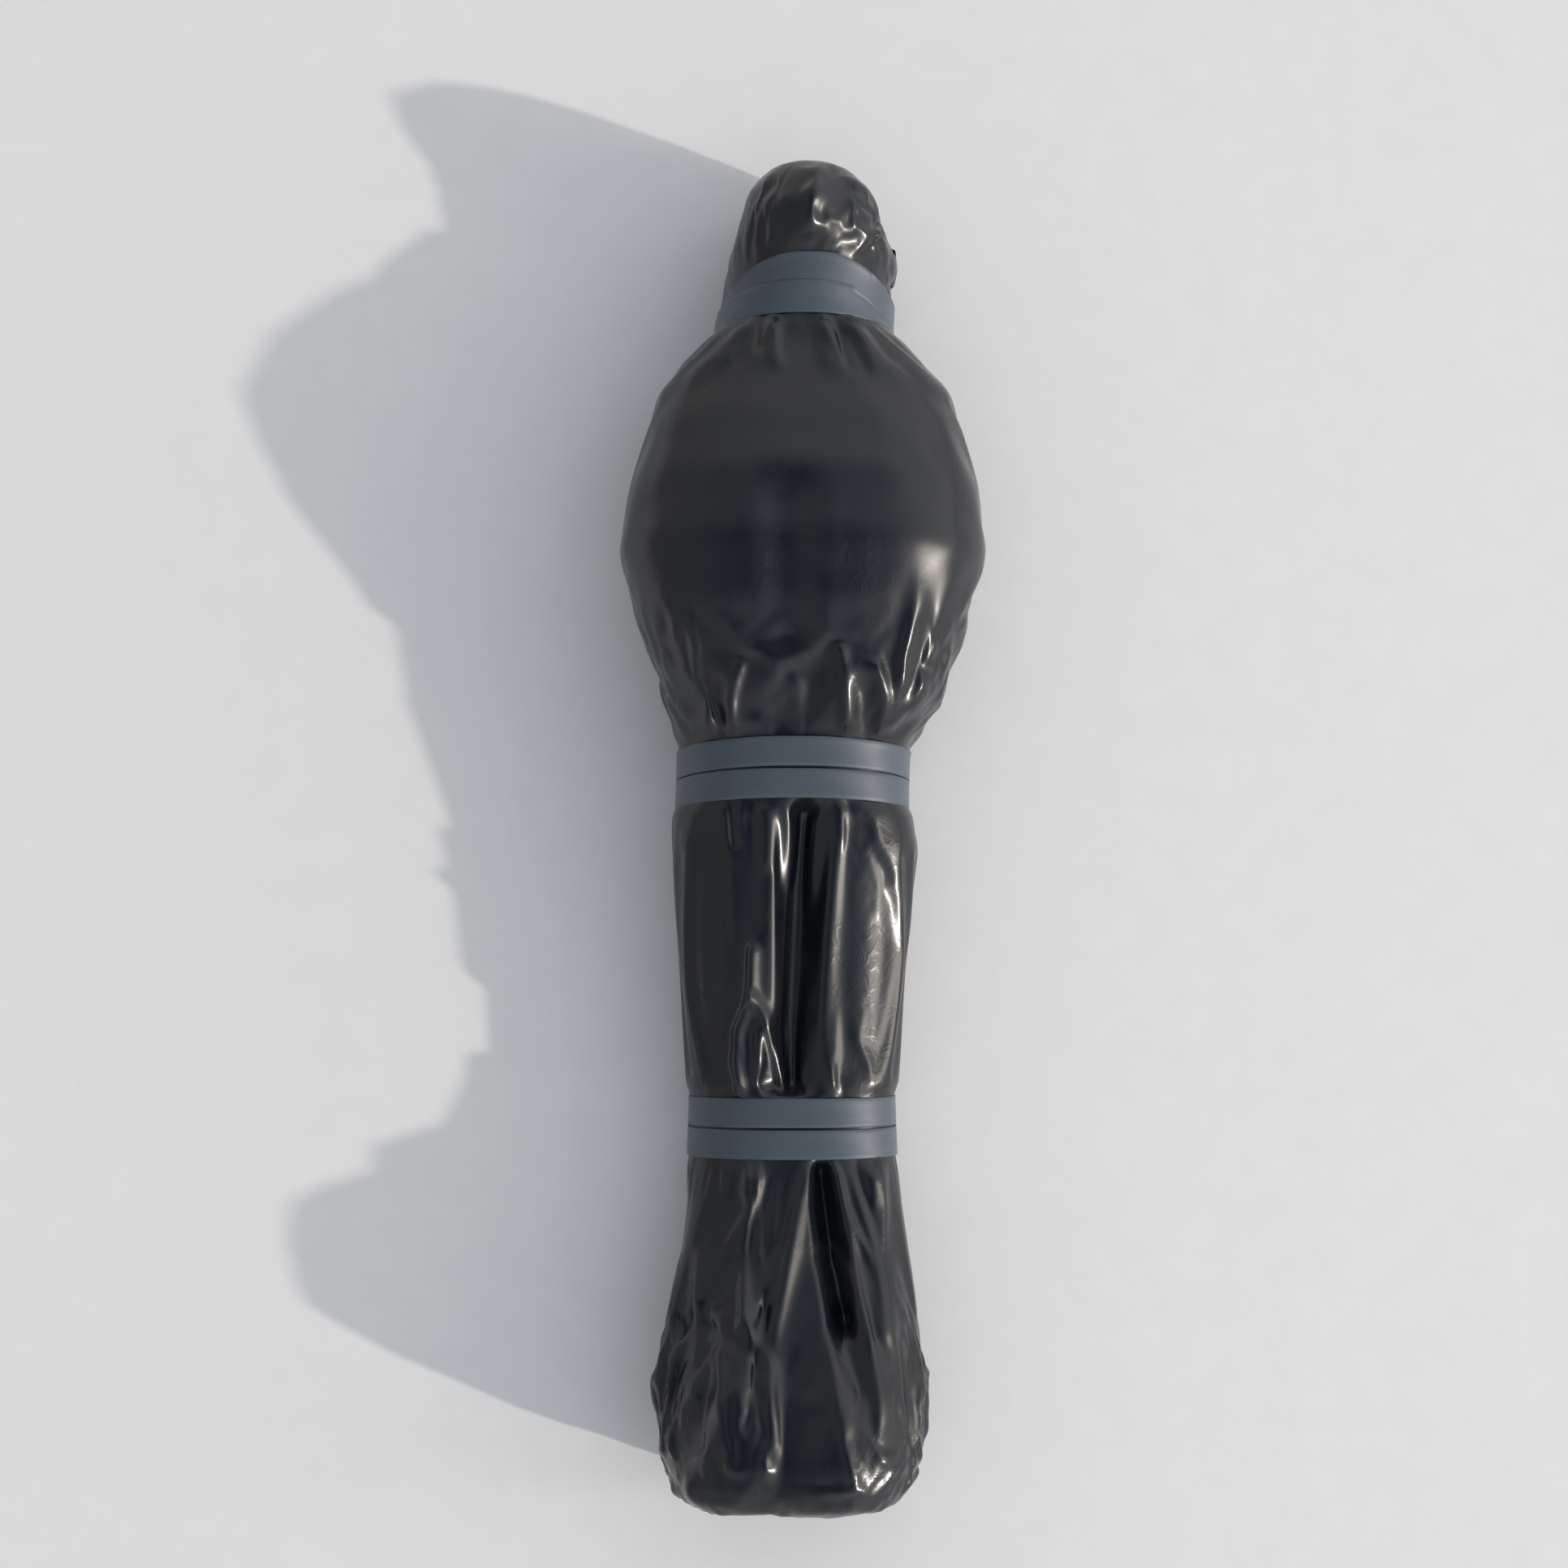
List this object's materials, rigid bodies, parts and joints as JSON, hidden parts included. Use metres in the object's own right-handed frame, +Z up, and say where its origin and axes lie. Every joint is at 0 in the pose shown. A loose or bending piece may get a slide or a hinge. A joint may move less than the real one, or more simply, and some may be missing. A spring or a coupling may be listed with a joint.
{
  "type": "grappling dummy",
  "caption": "Human-size grappling dummy on its back, wrapped in a loose glossy sheet bound by flat straps at neck, hips and knees, with hinged neck, hips and knees.",
  "frame": {"origin": "on the floor under the middle of the dummy's length and width", "axes": "+Y along the dummy towards its crown, +Z up from the floor out of its front, +X to its own left side"},
  "size_m": [0.4806, 1.7826, 0.2888],
  "materials": {
    "vinyl_sheet": "glossy black vinyl sheet, creased",
    "strap_webbing": "satin grey-blue flat strap",
    "foam_stuffing": "packed textile and foam stuffing",
    "foam_firm": "firm moulded foam",
    "tube_steel": "plain steel tube",
    "hinge_steel": "black painted steel",
    "pin_steel": "bright steel pin"
  },
  "bodies": {
    "head": {"hood_wrap": "vinyl_sheet", "neck_strap_upper": "strap_webbing", "neck_strap_lower": "strap_webbing", "head_core": "foam_firm", "neck_core": "foam_firm", "neck_post": "tube_steel", "neck_tongue": "hinge_steel"},
    "torso": {"collar_wrap": "vinyl_sheet", "torso_wrap": "vinyl_sheet", "hip_strap_upper": "strap_webbing", "hip_strap_lower": "strap_webbing", "chest_core": "foam_stuffing", "belly_core": "foam_stuffing", "upper_arm_core_left": "foam_stuffing", "upper_arm_core_right": "foam_stuffing", "forearm_core_left": "foam_stuffing", "forearm_core_right": "foam_stuffing", "hand_core_left": "foam_firm", "hand_core_right": "foam_firm", "spine_tube": "tube_steel", "neck_fork": "hinge_steel", "neck_pin": "pin_steel", "hip_crossbar": "tube_steel", "hip_fork_left": "hinge_steel", "hip_fork_right": "hinge_steel", "hip_pin_left": "pin_steel", "hip_pin_right": "pin_steel"},
    "thighs": {"hip_wrap": "vinyl_sheet", "thigh_wrap": "vinyl_sheet", "knee_strap_upper": "strap_webbing", "knee_strap_lower": "strap_webbing", "thigh_core_left": "foam_stuffing", "thigh_core_right": "foam_stuffing", "hip_tongue_left": "hinge_steel", "hip_tongue_right": "hinge_steel", "thigh_tube_left": "tube_steel", "thigh_tube_right": "tube_steel", "knee_fork_left": "hinge_steel", "knee_fork_right": "hinge_steel", "knee_pin_left": "pin_steel", "knee_pin_right": "pin_steel"},
    "shins": {"knee_wrap": "vinyl_sheet", "foot_wrap": "vinyl_sheet", "shin_core_left": "foam_stuffing", "shin_core_right": "foam_stuffing", "foot_core_left": "foam_stuffing", "foot_core_right": "foam_stuffing", "knee_tongue_left": "hinge_steel", "knee_tongue_right": "hinge_steel", "shin_tube_left": "tube_steel", "shin_tube_right": "tube_steel"}
  },
  "joints": [
    {"name": "knee_bend", "type": "hinge", "parent": "shins", "child": "thighs", "pos_m": [-0.014, -0.47625, 0.08], "axis": [1, 0, 0], "range_deg": [0, 60], "deforming": ["knee_wrap"]},
    {"name": "hip_bend", "type": "hinge", "parent": "thighs", "child": "torso", "pos_m": [-0.014, -0.05575, 0.08], "axis": [1, 0, 0], "range_deg": [0, 60], "deforming": ["hip_wrap"]},
    {"name": "neck_nod", "type": "hinge", "parent": "torso", "child": "head", "pos_m": [0, 0.61975, 0.08], "axis": [1, 0, 0], "range_deg": [0, 30], "deforming": ["collar_wrap"]}
  ]
}
